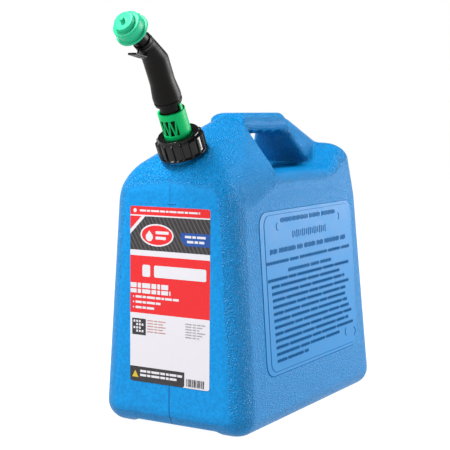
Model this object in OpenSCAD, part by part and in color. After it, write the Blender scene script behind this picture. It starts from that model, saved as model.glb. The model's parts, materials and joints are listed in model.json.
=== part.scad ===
// Plastic fuel can with a push-to-pour spout.
// Millimetres. X is across the can, -Y is the pouring side, +Z is up.
// The origin is on the ground, under the middle of the whole can and spout.

/* [Tank] */
// Half width of the tank at its feet
foot_half_w = 105.5; // [95:0.5:115]
// Half width of the tank at its shoulders
shoulder_half_w = 86.5; // [78:0.5:94]
// Rounding of the bottom corners
foot_r = 26.5; // [20:0.5:30]
// Rounding of the shoulders
shoulder_r = 28; // [22:0.5:32]
// Distance from the tank's reference plane to the front wall at its foot
front_depth = 197; // [185:0.5:210]
// Distance from the tank's reference plane to the rear wall at its foot
rear_depth = 168.5; // [155:0.5:185]
// How far the front wall leans back from foot to shoulder
front_lean = 4; // [2:0.5:10]
// How far the rear wall leans in from foot to shoulder
rear_lean = 19; // [10:0.5:28]
// Height of the front shoulder's centre of rounding
front_shoulder_z = 301; // [285:1:315]
// Height of the rear hump's flat top
hump_z = 341; // [330:1:352]
// Thickness of the moulded wall
wall = 2.2; // [1.6:0.1:3]

/* [Handle] */
// Height of the handle's top
handle_top_z = 382; // [372:1:395]
// Height of the handle bar's cross-section
bar_h = 27; // [23:0.5:32]
// Width of the handle bar's cross-section
bar_w = 51; // [42:1:56]
// Height of the pocket's floor under the handle
pocket_z = 310; // [303:1:317]
// Spacing of the finger grooves
finger_pitch = 24.5; // [20:0.5:26]
// Depth of the finger grooves
finger_depth = 2.8; // [1:0.5:4]

/* [Neck and ring] */
// Forward tilt of the filler neck
neck_tilt = 28; // [20:1:35]
// Radius of the neck under its thread
neck_r = 21.4; // [20:0.1:21.8]
// Radius of the neck's bore
neck_bore_r = 18.3; // [17.5:0.1:18.6]
// Height of the neck above the sloping deck
neck_h = 20.5; // [20:0.5:21.5]
// Lead of the neck's thread
thread_pitch = 5; // [4:0.5:6]
// Radius over the screw ring's ribs
ring_r = 30; // [29:0.5:32]
// Number of grip ribs on the screw ring
ring_ribs = 16; // [12:1:28]

/* [Spout] */
// Radius of the green lock collar
lock_r = 16.8; // [16.5:0.1:17.5]
// Radius of the fixed inner tube
inner_r = 12.8; // [12.5:0.1:13]
// Radius of the sliding sleeve
sleeve_r = 15.1; // [15:0.1:16]
// Distance along the neck's axis to the bend
bend_s = 131.5; // [127:0.5:136]
// Angle of the bend
bend_angle = 33; // [25:1:40]
// Distance along the neck's axis to the start of the sleeve's tapering elbow
taper_s = 125; // [122:0.5:126]
// Radius of the outlet nozzle
nozzle_r = 9.8; // [9:0.05:9.8]
// Distance along the nozzle's axis from the bend to its tip
nozzle_end = 62; // [62:1:66]

/* [Dust cap] */
// Radius of the cap's flange
cap_flange_r = 20.2; // [18:0.1:23]
// Radius of the cap's body
cap_body_r = 17.2; // [16.5:0.1:18]

/* [Label] */
// Width of the front label
label_w = 114; // [80:1:114]
// Height of the front label
label_h = 214; // [150:1:214]

/* [Hidden] */

$fn = 64;
ball_fn = 24;
far = 400;

// The neck's foot on the sloping deck
neck_y = -162.6;
neck_z = 334.2;

// Heights along the neck's axis, from the deck upwards
gasket_t = 2;
flange_s = neck_h + gasket_t;
flange_t = 2.3;
tube_s = flange_s + flange_t;
ring_bottom_s = 1.9;
ring_top_s = 27.3;
lip_r = 18.6;
ring_bore_r = 23.2;
flange_r = 22.8;
lock_s = tube_s + 0.05;
lock_top_s = 58.3;
strut_top_s = 67.2;
sleeve_s = 67.4;
skirt_top_s = 79;
flare_top_s = 95;
skirt_r = 17.1;
skirt_bore_r = 15.7;
skirt_bore_top_s = 78.5;
sleeve_bore_r = 13.4;
shoulder_s = 114.7;
channel_r = 12.2;
ledge_s = 92;
tube_top_s = 102;
upper_tube_r = 10.8;
tube_bore_r = 10.8;
upper_bore_r = 8.8;
seat_t = 2.8;
seat_hole_r = 9;
poppet_r = 10.7;
poppet_s = 115.9;
poppet_t = 2;
post_r = 1.1;
post_ring_r = 7.5;
seal_s = 86.8;
seal_wire_r = 0.8;
vent_r = 2.4;
vent_bore_r = 1.5;
vent_foot_s = 28;
vent_bend_r = 16;
vent_bend_cut = vent_bend_r * tan(bend_angle / 2);

// Places along the nozzle's axis, from the bend outwards
elbow_end_s = 20.7;
elbow_end_r = 11.5;
socket_s = 15;
socket_r = 9.85;
nozzle_bore_r = 8.3;
cap_s = 47;
cap_flange_t = 2.8;
cap_body_end_s = 62;
cap_disc_end_s = 67.7;
cap_disc_r = 12.5;
cap_nub_end_s = 72.4;
cap_nub_r = 2.8;
cap_bore_r = 9.95;

// The whole can's middle, from the tank's reference plane
nozzle_tilt = neck_tilt + bend_angle;
front_y = neck_y - bend_s * sin(neck_tilt)
    - cap_disc_end_s * sin(nozzle_tilt) - cap_disc_r * cos(nozzle_tilt);
frame_y = -(front_y + rear_depth) / 2;

// Centres of the tank's corner roundings on the +X side
foot_x = foot_half_w - foot_r;
shoulder_x = shoulder_half_w - shoulder_r;
bar_r = bar_h / 2;
bar_x = (bar_w - bar_h) / 2;
bar_z = handle_top_z - bar_r;
front_foot = [foot_x, foot_r - front_depth, foot_r];
rear_foot = [foot_x, rear_depth - foot_r, foot_r];
front_shoulder = [
    shoulder_x, shoulder_r - front_depth + front_lean, front_shoulder_z
];
// The side wall stays flat: the higher rear rounding sits further in
side_slope = (foot_x - shoulder_x) / (front_shoulder_z - foot_r);
rear_shoulder_z = hump_z - shoulder_r;
rear_shoulder = [
    foot_x - side_slope * (rear_shoulder_z - foot_r),
    rear_depth - rear_lean - shoulder_r, rear_shoulder_z
];
front_crest = [bar_x, -69.5, bar_z];
rear_crest = [bar_x, 62, bar_z];
post_foot = [32, 92, pocket_z + 4];
post_back = [28, 120.5, hump_z - 16];

// Side view of the pocket under the handle, Y against Z
pocket = [
    [-81, pocket_z], [-63, 359], [-58, 420], [141, 420],
    [118, hump_z + 5], [73, pocket_z]
];

module in_frame() {
    translate([0, frame_y, 0]) children();
}

module at_neck() {
    in_frame()
        translate([0, neck_y, neck_z])
            rotate([neck_tilt, 0, 0])
                children();
}

module at_nozzle() {
    at_neck()
        translate([0, 0, bend_s])
            rotate([bend_angle, 0, 0])
                children();
}

// A ring between two heights
module tube(s0, s1, outer, inner) {
    translate([0, 0, s0])
        difference() {
            cylinder(h = s1 - s0, r = outer);
            translate([0, 0, -1])
                cylinder(h = s1 - s0 + 2, r = inner);
        }
}

// A pair of balls on both sides of the middle plane, whose flats reach r
module balls(p, r) {
    for (side = [-1, 1])
        translate([side * p[0], p[1], p[2]])
            sphere(r = r / cos(90 / (ball_fn / 2)), $fn = ball_fn);
}

// The tank's main form, drawn in by t
module body_form(t) {
    hull() {
        balls(front_foot, foot_r - t);
        balls(rear_foot, foot_r - t);
        balls(front_shoulder, shoulder_r - t);
        balls(rear_shoulder, shoulder_r - t);
        balls(front_crest, bar_r - t);
        balls(rear_crest, bar_r - t);
    }
}

module bar_form(t) {
    hull() {
        balls(front_crest, bar_r - t);
        balls(rear_crest, bar_r - t);
    }
}

module post_form(t) {
    hull() {
        balls(rear_crest, bar_r - t);
        balls(post_foot, bar_r - t);
        balls(post_back, bar_r - t);
    }
}

// The root of the handle where the bar leaves the front deck
module root_form(t) {
    hull() {
        balls(front_crest, bar_r - t);
        balls([bar_x + 13, -99.5, bar_z - 21], bar_r - t);
        balls([bar_x, -56, bar_z], bar_r - t);
    }
}

module pocket_cut(t) {
    rotate([90, 0, 90])
        linear_extrude(height = far, center = true)
            offset(delta = t)
                polygon(pocket);
}

module finger_cut(t) {
    groove_r = 14;
    for (i = [-1.5 : 1 : 1.5])
        translate([0, i * finger_pitch - 2, handle_top_z - bar_h])
            translate([0, 0, finger_depth - groove_r])
                rotate([0, 90, 0])
                    cylinder(h = far, r = groove_r + t, center = true, $fn = 32);
}

// The arch between the two foot rails
module arch_cut(t) {
    rise = 4.5;
    half_w = 62;
    hull() {
        translate([-half_w - t, -far, -1])
            cube([2 * (half_w + t), 2 * far, 1]);
        translate([-half_w + rise - t, -far, rise + t - 1])
            cube([2 * (half_w - rise + t), 2 * far, 1]);
    }
}

// The closed form of the tank with its pocket and arch, drawn in by t
module tank_form(t) {
    difference() {
        union() {
            difference() {
                body_form(t);
                pocket_cut(t);
            }
            difference() {
                union() {
                    bar_form(t);
                    root_form(t);
                }
                finger_cut(t);
            }
            post_form(t);
        }
        arch_cut(t);
    }
}

// Helical ridge on the outside of the neck
module neck_thread() {
    per_turn = 24;
    turns = 2;
    start = 6.5;
    crest = 1.4;
    half_t = 1.1;
    count = per_turn * turns;
    root = neck_r - 0.4;
    ring = [[root, -half_t], [neck_r + crest, 0], [root, half_t]];
    points = [
        for (i = [0 : count])
            let (a = 360 * i / per_turn, s = start + thread_pitch * i / per_turn)
                for (p = ring)
                    [p[0] * cos(a), p[0] * sin(a), s + p[1]]
    ];
    sides = [
        for (i = [0 : count - 1])
            for (k = [0 : 2])
                let (a = 3 * i + k, b = 3 * i + (k + 1) % 3)
                    [a, b, b + 3, a + 3]
    ];
    last = 3 * count;
    polyhedron(
        points,
        concat([[2, 1, 0]], sides, [[last, last + 1, last + 2]])
    );
}

// Border of the raised instruction panel on a side wall
module panel_border() {
    half_l = 128;
    half_h = 100.5;
    corner = 18;
    groove_w = 2.5;
    groove_d = 0.8;
    middle = [-11, 136.5];
    lean = atan((foot_half_w - shoulder_half_w) / (front_shoulder_z - foot_r));
    translate([foot_half_w, middle[0], foot_r])
        rotate([0, -lean, 0])
            translate([0, 0, middle[1]])
                rotate([0, 90, 0])
                    translate([0, 0, -groove_d])
                        linear_extrude(height = 3 * groove_d)
                            difference() {
                                panel_outline(half_h, half_l, corner);
                                panel_outline(
                                    half_h - groove_w, half_l - groove_w,
                                    corner - groove_w
                                );
                            }
}

module panel_outline(half_a, half_b, corner) {
    offset(r = corner, $fn = 32)
        square([2 * (half_a - corner), 2 * (half_b - corner)], center = true);
}

module tank() {
    color("royalblue")
        in_frame()
            difference() {
                tank_form(0);
                tank_form(wall);
                neck_hole();
                for (side = [0, 1])
                    mirror([side, 0, 0])
                        panel_border();
            }
}

// The hole in the deck that the neck stands in
module neck_hole() {
    depth = 10;
    translate([0, neck_y, neck_z])
        rotate([neck_tilt, 0, 0])
            cylinder(h = 2 * depth, r = neck_r, center = true);
}

// Threaded neck, moulded in one with the tank's deck
module filler_neck() {
    neck_root = -4;
    color("royalblue")
        at_neck() {
            tube(neck_root, neck_h, neck_r, neck_bore_r);
            difference() {
                neck_thread();
                cylinder(h = neck_h, r = neck_bore_r);
            }
        }
}

module front_label() {
    corner = 3;
    thickness = 0.3;
    gap = 0.15;
    middle_z = 163.5;
    lean = atan(front_lean / (front_shoulder_z - foot_r));
    color("white")
        in_frame()
            translate([0, -front_depth - gap, foot_r])
                rotate([-lean, 0, 0])
                    translate([0, 0, middle_z - foot_r])
                        rotate([90, 0, 0])
                            rounded_plate(label_w, label_h, thickness, corner);
}

module rounded_plate(w, h, t, r) {
    for (sx = [-1, 1], sy = [-1, 1])
        translate([sx * (w / 2 - r), sy * (h / 2 - r), 0])
            cylinder(h = t, r = r);
    translate([-w / 2, r - h / 2, 0])
        cube([w, h - 2 * r, t]);
    translate([r - w / 2, -h / 2, 0])
        cube([w - 2 * r, h, t]);
}

// Slotted basket that hangs in the neck
module flame_arrestor() {
    rim_r = neck_bore_r - 0.05;
    basket_r = 16.5;
    basket_bore_r = 15.6;
    bottom_s = -13;
    slots = 12;
    color("silver")
        at_neck()
            difference() {
                union() {
                    tube(neck_h - 3, neck_h - 0.5, rim_r, basket_bore_r);
                    tube(bottom_s, neck_h - 1, basket_r, basket_bore_r);
                    translate([0, 0, bottom_s])
                        cylinder(h = 1.2, r = basket_r);
                }
                for (i = [0 : slots - 1])
                    rotate([0, 0, i * 360 / slots])
                        translate([10, -1.5, bottom_s + 4])
                            cube([10, 3, 24]);
                for (i = [0 : 5])
                    rotate([0, 0, i * 60])
                        translate([9, 0, bottom_s - 1])
                            cylinder(h = 4, r = 2.5);
            }
}

module neck_gasket() {
    color("dimgray")
        at_neck()
            tube(neck_h, flange_s, flange_r - 0.3, neck_bore_r);
}

module screw_collar() {
    body_r = ring_r - 2.4;
    rib_w = 2.5;
    rib_s = 3.8;
    rib_h = 20.5;
    lip_s = tube_s + 0.1;
    color("#1c1c1e")
        at_neck() {
            tube(ring_bottom_s, ring_top_s, body_r, ring_bore_r);
            tube(lip_s, ring_top_s, ring_bore_r + 0.5, lip_r);
            difference() {
                for (i = [0 : ring_ribs - 1])
                    rotate([0, 0, (i + 0.5) * 360 / ring_ribs])
                        translate([body_r - 1, -rib_w / 2, rib_s])
                            cube([ring_r - body_r + 1, rib_w, rib_h]);
                cylinder(h = ring_top_s, r = ring_bore_r + 1);
            }
        }
}

module base_flange() {
    color("#242426")
        at_neck()
            tube(flange_s, tube_s, flange_r, tube_bore_r);
}

// Fixed tube with a ledge for the spring and three posts for the poppet
module inner_tube() {
    groove_r = 11.7;
    cage_t = 2;
    cage_bore_r = 6.1;
    color("#202022")
        at_neck() {
            difference() {
                union() {
                    tube(tube_s, ledge_s, inner_r, tube_bore_r);
                    tube(ledge_s - 3, tube_top_s, upper_tube_r, upper_bore_r);
                    tube(tube_top_s - cage_t, tube_top_s, upper_tube_r, cage_bore_r);
                }
                tube(seal_s - 1.2, seal_s + 1.2, inner_r + 1, groove_r);
            }
            for (i = [0 : 2])
                rotate([0, 0, i * 120 + 30])
                    translate([post_ring_r, 0, tube_top_s - 1])
                        cylinder(h = poppet_s - tube_top_s + 1, r = post_r);
        }
}

// Child lock: a collar with a moulded zigzag spring and two struts
module lock_collar() {
    land_r = inner_r + 0.08;
    bore_r = 13.7;
    land_top_s = 30;
    window_s = 31;
    window_top_s = 52.6;
    window_half = 45;
    strut_in_r = 13.55;
    strut_out_r = 15.45;
    strut_w = 8.5;
    zig_w = 1.9;
    zig_lean = 15;
    zig_step = 5.3;
    zig_h = 24.5;
    color("mediumseagreen")
        at_neck() {
            difference() {
                tube(lock_s, lock_top_s, lock_r, land_r);
                translate([0, 0, land_top_s])
                    cylinder(h = lock_top_s, r = bore_r);
                lock_window(window_s, window_top_s, window_half);
            }
            intersection() {
                tube(window_s - 1, window_top_s + 1, lock_r - 0.5, bore_r + 0.9);
                for (i = [0 : 3])
                    translate([(i - 1.5) * zig_step, -lock_r, (window_s + window_top_s) / 2])
                        rotate([0, (i % 2 * 2 - 1) * zig_lean, 0])
                            cube([zig_w, lock_r, zig_h], center = true);
            }
            intersection() {
                tube(lock_top_s - 3, strut_top_s, strut_out_r, strut_in_r);
                translate([0, 0, strut_top_s])
                    cube([3 * lock_r, strut_w, 2 * strut_top_s], center = true);
            }
        }
}

// Wedge that opens the front of the collar between two heights
module lock_window(s0, s1, half) {
    reach = 40;
    translate([0, 0, s0])
        linear_extrude(height = s1 - s0)
            polygon([
                [0, 0], [-reach * sin(half), -reach * cos(half)],
                [reach * sin(half), -reach * cos(half)]
            ]);
}

module slide_seal() {
    color("#101010")
        at_neck()
            translate([0, 0, seal_s])
                rotate_extrude()
                    translate([sleeve_bore_r - 0.05 - seal_wire_r, 0])
                        circle(r = seal_wire_r);
}

module valve_seat() {
    color("gray")
        at_neck()
            tube(shoulder_s - seat_t, shoulder_s, sleeve_bore_r - 0.2, seat_hole_r);
}

module valve_poppet() {
    color("lightgray")
        at_neck()
            tube(poppet_s, poppet_s + poppet_t, poppet_r, vent_r + 0.4);
}

module poppet_seal() {
    color("#101010")
        at_neck()
            tube(shoulder_s + 0.1, poppet_s, poppet_r - 0.1, seat_hole_r + 0.3);
}

// Coil spring between the inner tube's ledge and the valve seat
module return_spring() {
    wire_r = 0.6;
    coil_r = 11.85;
    turns = 5;
    per_turn = 20;
    sides = 6;
    count = turns * per_turn;
    s0 = ledge_s + wire_r + 0.05;
    rise = shoulder_s - seat_t - ledge_s - 2 * wire_r - 0.1;
    points = [
        for (i = [0 : count])
            let (a = 360 * i / per_turn, s = s0 + rise * i / count)
                for (k = [0 : sides - 1])
                    let (b = 360 * k / sides, r = coil_r + wire_r * cos(b))
                        [r * cos(a), r * sin(a), s + wire_r * sin(b)]
    ];
    walls = [
        for (i = [0 : count - 1])
            for (k = [0 : sides - 1])
                let (a = sides * i + k, b = sides * i + (k + 1) % sides)
                    [a, b, b + sides, a + sides]
    ];
    cap0 = [for (k = [sides - 1 : -1 : 0]) k];
    cap1 = [for (k = [0 : sides - 1]) sides * count + k];
    color("silver")
        at_neck()
            polyhedron(points, concat([cap0], walls, [cap1]));
}

// Air tube that follows the channel round the bend
module vent_tube() {
    sides = 12;
    steps = 8;
    tip_s = nozzle_end - 4;
    route = concat(
        [[0, vent_foot_s, 0]],
        [
            for (i = [0 : steps])
                let (a = bend_angle * i / steps)
                    [
                        vent_bend_r * (cos(a) - 1),
                        bend_s - vent_bend_cut + vent_bend_r * sin(a), a
                    ]
        ],
        [[
            -tip_s * sin(bend_angle), bend_s + tip_s * cos(bend_angle),
            bend_angle
        ]]
    );
    rings = len(route);
    function ring_points(r) = [
        for (p = route)
            for (k = [0 : sides - 1])
                let (b = 360 * k / sides)
                    [
                        r * cos(b), p[0] + r * sin(b) * cos(p[2]),
                        p[1] + r * sin(b) * sin(p[2])
                    ]
    ];
    inside = sides * rings;
    last = sides * (rings - 1);
    walls = [
        for (i = [0 : rings - 2])
            for (k = [0 : sides - 1])
                let (a = sides * i + k, b = sides * i + (k + 1) % sides)
                    [a, a + sides, b + sides, b]
    ];
    lining = [
        for (w = walls)
            [w[3] + inside, w[2] + inside, w[1] + inside, w[0] + inside]
    ];
    foot_end = [
        for (k = [0 : sides - 1])
            let (n = (k + 1) % sides)
                [k, n, n + inside, k + inside]
    ];
    tip_end = [
        for (k = [0 : sides - 1])
            let (a = last + k, n = last + (k + 1) % sides)
                [a, a + inside, n + inside, n]
    ];
    color("whitesmoke")
        at_neck()
            polyhedron(
                concat(ring_points(vent_r), ring_points(vent_bore_r)),
                concat(walls, lining, foot_end, tip_end)
            );
}

module vent_valve() {
    cup_r = 3.8;
    cup_s = vent_foot_s - 8;
    color("#303030")
        at_neck()
            difference() {
                translate([0, 0, cup_s])
                    cylinder(h = 12, r = cup_r);
                translate([0, 0, cup_s + 1.5])
                    cylinder(h = 12, r = vent_r + 0.02);
                translate([-1.6, -0.3, cup_s - 1])
                    cube([3.2, 0.6, 4]);
            }
}

// Solid through circles in the neck's frame, each given as [y, z, lean, radius]
module ring_solid(rings) {
    sides = 64;
    points = [
        for (g = rings)
            for (k = [0 : sides - 1])
                let (b = 360 * k / sides)
                    [
                        g[3] * cos(b), g[0] + g[3] * sin(b) * cos(g[2]),
                        g[1] + g[3] * sin(b) * sin(g[2])
                    ]
    ];
    last = sides * (len(rings) - 1);
    lower = [
        for (i = [0 : sides : last - sides])
            for (k = [0 : sides - 1])
                [i + k, i + k + sides, i + (k + 1) % sides]
    ];
    upper = [
        for (i = [0 : sides : last - sides])
            for (k = [0 : sides - 1])
                let (n = i + (k + 1) % sides)
                    [n, i + k + sides, n + sides]
    ];
    foot = [for (k = [0 : sides - 1]) k];
    top = [for (k = [sides - 1 : -1 : 0]) last + k];
    polyhedron(points, concat([foot], lower, upper, [top]));
}

function on_nozzle(s, r) = [
    -s * sin(bend_angle), bend_s + s * cos(bend_angle), bend_angle, r
];

// Sliding sleeve with its flared skirt and tapering elbow
module elbow_body() {
    step = 0.05;
    pipe_end_s = taper_s - 6;
    cone_end_s = elbow_end_s - 1.2;
    socket_from_s = socket_s - 2;
    color("#1c1c1e")
        at_neck()
            difference() {
                union() {
                    rotate_extrude()
                        polygon([
                            [0, sleeve_s], [skirt_r, sleeve_s],
                            [skirt_r, skirt_top_s],
                            [sleeve_r, flare_top_s],
                            [sleeve_r, pipe_end_s], [0, pipe_end_s]
                        ]);
                    ring_solid([
                        [0, pipe_end_s - 1, 0, sleeve_r - step],
                        [0, taper_s, 0, sleeve_r - step],
                        on_nozzle(cone_end_s, elbow_end_r),
                        on_nozzle(elbow_end_s, elbow_end_r)
                    ]);
                }
                rotate_extrude()
                    polygon([
                        [0, sleeve_s - 1], [skirt_bore_r, sleeve_s - 1],
                        [skirt_bore_r, skirt_bore_top_s],
                        [sleeve_bore_r, skirt_bore_top_s],
                        [sleeve_bore_r, shoulder_s],
                        [channel_r, shoulder_s], [channel_r, pipe_end_s + 1],
                        [0, pipe_end_s + 1]
                    ]);
                ring_solid([
                    [0, pipe_end_s, 0, channel_r - step],
                    [0, taper_s - 0.5, 0, channel_r - step],
                    on_nozzle(socket_from_s, socket_r + 0.02),
                    on_nozzle(elbow_end_s + 1, socket_r + 0.02)
                ]);
            }
}

module nozzle_tip() {
    rib_t = 1.2;
    rib_s = 28;
    color("#1c1c1e")
        at_nozzle() {
            tube(socket_s, nozzle_end, nozzle_r, nozzle_bore_r);
            difference() {
                for (turn = [0, 90])
                    rotate([0, 0, turn])
                        translate([0, 0, rib_s + 5])
                            cube([2 * nozzle_bore_r + 1, rib_t, 10], center = true);
                translate([0, 0, rib_s - 1])
                    cylinder(h = 12, r = vent_r + 0.02);
            }
        }
}

module nozzle_seal() {
    color("#0c0c0c")
        at_nozzle()
            tube(elbow_end_s, elbow_end_s + 2, elbow_end_r + 0.3, nozzle_r + 0.02);
}

// Clip with a blade that hangs on the rim of the tank being filled
module rim_hook() {
    clip_s = elbow_end_s + 2.3;
    clip_h = 4.7;
    blade_l = 24.5;
    blade_w = 11.3;
    blade_t = 2.3;
    blade_lean = 21;
    blade_y = -13.7;
    blade_s = 15;
    web_t = 2.3;
    color("#1c1c1e")
        at_nozzle() {
            tube(clip_s, clip_s + clip_h, elbow_end_r, nozzle_r + 0.02);
            translate([0, blade_y, blade_s])
                rotate([blade_lean, 0, 0])
                    translate([-blade_w / 2, -blade_t, 0])
                        cube([blade_w, blade_t, blade_l]);
            difference() {
                translate([-web_t / 2, blade_y - 3.8, clip_s])
                    cube([web_t, 8, clip_h]);
                translate([0, 0, clip_s - 1])
                    cylinder(h = clip_h + 2, r = nozzle_r + 0.5);
            }
        }
}

module dust_cap() {
    shell_r = 15.2;
    sleeve_out_r = 11.4;
    color("mediumseagreen")
        at_nozzle()
            rotate_extrude()
                polygon([
                    [cap_bore_r, cap_s], [sleeve_out_r, cap_s],
                    [sleeve_out_r, cap_body_end_s - 3],
                    [shell_r, cap_body_end_s - 3], [shell_r, cap_s],
                    [cap_flange_r, cap_s], [cap_flange_r, cap_s + cap_flange_t],
                    [cap_body_r, cap_s + cap_flange_t],
                    [cap_body_r, cap_body_end_s],
                    [cap_disc_r, cap_body_end_s], [cap_disc_r, cap_disc_end_s],
                    [cap_nub_r, cap_disc_end_s], [cap_nub_r, cap_nub_end_s],
                    [0, cap_nub_end_s], [0, nozzle_end + 0.5],
                    [cap_bore_r, nozzle_end + 0.5]
                ]);
}

tank();
filler_neck();
front_label();
flame_arrestor();
neck_gasket();
screw_collar();
base_flange();
inner_tube();
lock_collar();
slide_seal();
valve_seat();
valve_poppet();
poppet_seal();
return_spring();
vent_tube();
vent_valve();
elbow_body();
nozzle_tip();
nozzle_seal();
rim_hook();
dust_cap();
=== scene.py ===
"""A plastic fuel can with a push-to-pour spout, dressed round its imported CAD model.

Shapes are drawn in millimetres, in the frame of the thing that they belong to: the tank, the filler neck,
the spout's nozzle, the label or a side wall. Those frames come from the CAD model's joints.
"""
import json
import math

import bpy
import numpy as np
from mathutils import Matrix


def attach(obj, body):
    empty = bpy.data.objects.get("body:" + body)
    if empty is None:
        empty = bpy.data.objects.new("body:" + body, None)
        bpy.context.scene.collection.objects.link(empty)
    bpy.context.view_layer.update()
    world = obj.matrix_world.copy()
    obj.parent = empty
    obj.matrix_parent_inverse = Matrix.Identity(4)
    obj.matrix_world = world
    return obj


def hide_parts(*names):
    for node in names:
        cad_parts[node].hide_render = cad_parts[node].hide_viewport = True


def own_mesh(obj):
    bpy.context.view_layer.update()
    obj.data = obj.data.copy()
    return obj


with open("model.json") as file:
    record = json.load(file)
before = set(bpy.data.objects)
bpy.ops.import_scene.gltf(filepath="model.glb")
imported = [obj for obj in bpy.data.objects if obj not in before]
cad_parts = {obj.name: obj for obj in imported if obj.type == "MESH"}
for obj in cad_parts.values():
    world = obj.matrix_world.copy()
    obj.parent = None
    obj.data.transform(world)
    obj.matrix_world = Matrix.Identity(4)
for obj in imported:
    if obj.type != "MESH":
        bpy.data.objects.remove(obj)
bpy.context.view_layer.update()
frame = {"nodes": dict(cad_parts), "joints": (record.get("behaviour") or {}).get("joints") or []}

import openvdb as vdb
from mathutils import Matrix, Vector

MM = 0.001

# ---------------------------------------------------------------- places


def joint(name):
    """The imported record's joint of that name."""
    return next(j for j in frame["joints"] if j["name"] == name)


def turned(axis, degrees):
    return Matrix.Rotation(math.radians(degrees), 4, axis)


def moved(x, y, z):
    """A move given in millimetres."""
    return Matrix.Translation((x * MM, y * MM, z * MM))


def tilt_of(axis):
    """How far an axis in the middle plane leans towards -Y, in degrees."""
    return math.degrees(math.atan2(-axis[1], axis[2]))


RING_JOINT_S = 14
NECK_FOOT_Y = -162.6
BEND_S = 131.5

neck_tilt = tilt_of(joint("collar_turn")["axis"])
bend_angle = tilt_of(joint("cap_pull")["axis"]) - neck_tilt
NECK = (
    Matrix.Translation(joint("collar_turn")["pos_m"])
    @ turned("X", neck_tilt)
    @ moved(0, 0, -RING_JOINT_S)
)
NOZZLE = NECK @ moved(0, 0, BEND_S) @ turned("X", bend_angle)
TANK = Matrix.Translation((0, NECK.translation.y - NECK_FOOT_Y * MM, 0))

# Outer walls of the tank as seen from the front and from the side
SIDE_FOOT = (105.2, 28)
SIDE_TOP = (86.5, 301)
FRONT_FOOT = (197, 28)
FRONT_TOP = (193, 301)
REAR_FOOT = (168.5, 21)
REAR_TOP = (149.5, 313)


def lean_of(foot, top):
    return math.degrees(math.atan2(foot[0] - top[0], top[1] - foot[1]))


LABEL_MIDDLE = 163.5
LABEL = (
    TANK
    @ moved(0, -FRONT_FOOT[0], FRONT_FOOT[1])
    @ turned("X", -lean_of(FRONT_FOOT, FRONT_TOP))
    @ moved(0, 0, LABEL_MIDDLE - FRONT_FOOT[1])
    @ turned("X", 90)
)

PANEL_MIDDLE_Y = -11
PANEL_MIDDLE_UP = 136.5


def side_place(side):
    """The middle of a side wall's panel: X runs to the viewer's right, Y up the wall, Z out of it."""
    outwards = Matrix(((0, 0, side, 0), (side, 0, 0, 0), (0, 1, 0, 0), (0, 0, 0, 1)))
    return (
        TANK
        @ moved(side * SIDE_FOOT[0], PANEL_MIDDLE_Y, SIDE_FOOT[1])
        @ turned("Y", -side * lean_of(SIDE_FOOT, SIDE_TOP))
        @ moved(0, 0, PANEL_MIDDLE_UP)
        @ outwards
    )


# ---------------------------------------------------------------- camera, lights and floor

EYE = (760, -1322, 385.4)
EYE_AZIMUTH = 31.2
EYE_PITCH = 5.7
SENSOR = 36
LENS = 92.16


def camera():
    data = bpy.data.cameras.new("camera")
    data.sensor_width = SENSOR
    data.lens = LENS
    eye = bpy.data.objects.new("camera", data)
    bpy.context.scene.collection.objects.link(eye)
    eye.matrix_world = TANK @ moved(*EYE) @ turned("Z", EYE_AZIMUTH) @ turned("X", 90 - EYE_PITCH)
    bpy.context.scene.camera = eye


def soft_light(name, place, target, size, power):
    """A soft box. Its places and its size are in metres, and its power is in watts."""
    data = bpy.data.lights.new(name, "AREA")
    data.shape = "RECTANGLE"
    data.size, data.size_y = size
    data.energy = power
    lamp = bpy.data.objects.new(name, data)
    bpy.context.scene.collection.objects.link(lamp)
    lamp.location = place
    lamp.rotation_euler = (Vector(target) - Vector(place)).to_track_quat("-Z", "Y").to_euler()


def studio():
    """A white horizon under a dimmer ceiling, with three soft boxes."""
    soft_light("key_light", place=(-1.1, -2.2, 1.9), target=(0, 0, 0.2), size=(1.2, 1.0), power=38)
    soft_light("top_light", place=(-0.5, -1.0, 2.3), target=(0, 0, 0.3), size=(0.8, 0.6), power=112)
    soft_light("rear_light", place=(1.7, 1.9, 0.8), target=(0, 0, 0.2), size=(1.6, 1.2), power=86)
    world = bpy.data.worlds.new("studio")
    world.use_nodes = True
    tree = world.node_tree
    direction = node(tree, "ShaderNodeTexCoord").outputs["Generated"]
    up = node(tree, "ShaderNodeSeparateXYZ", {"Vector": direction}).outputs["Z"]
    sky = tree.nodes["Background"]
    sky.inputs["Color"].default_value = (1, 1, 1, 1)
    tree.links.new(between(tree, up, 0.12, 0.35, 1.0, 0.1), sky.inputs["Strength"])
    bpy.context.scene.world = world
    bpy.context.scene.view_settings.view_transform = "Standard"


def floor():
    """White paper, bright enough by itself to merge with the horizon."""
    half = 6.0
    corners = [(-half, -half, 0), (half, -half, 0), (half, half, 0), (-half, half, 0)]
    data = bpy.data.meshes.new("floor")
    data.from_pydata(corners, [], [(0, 1, 2, 3)])
    plane = bpy.data.objects.new("floor", data)
    bpy.context.scene.collection.objects.link(plane)
    paper = bpy.data.materials.new("floor_paper")
    paper.use_nodes = True
    shader = paper.node_tree.nodes["Principled BSDF"]
    shader.inputs["Base Color"].default_value = (0.12, 0.12, 0.12, 1)
    shader.inputs["Roughness"].default_value = 0.9
    shader.inputs["Emission Color"].default_value = (1, 1, 1, 1)
    shader.inputs["Emission Strength"].default_value = 0.97
    data.materials.append(paper)


# ---------------------------------------------------------------- materials


def node(tree, kind, inputs=None, **settings):
    """A shader node with its settings, and its inputs as values or as links."""
    made = tree.nodes.new(kind)
    for name, value in settings.items():
        setattr(made, name, value)
    for name, value in (inputs or {}).items():
        if isinstance(value, bpy.types.NodeSocket):
            tree.links.new(value, made.inputs[name])
        else:
            made.inputs[name].default_value = value
    return made


def maths(tree, operation, a, b=0.0):
    return node(tree, "ShaderNodeMath", {0: a, 1: b}, operation=operation).outputs[0]


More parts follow.
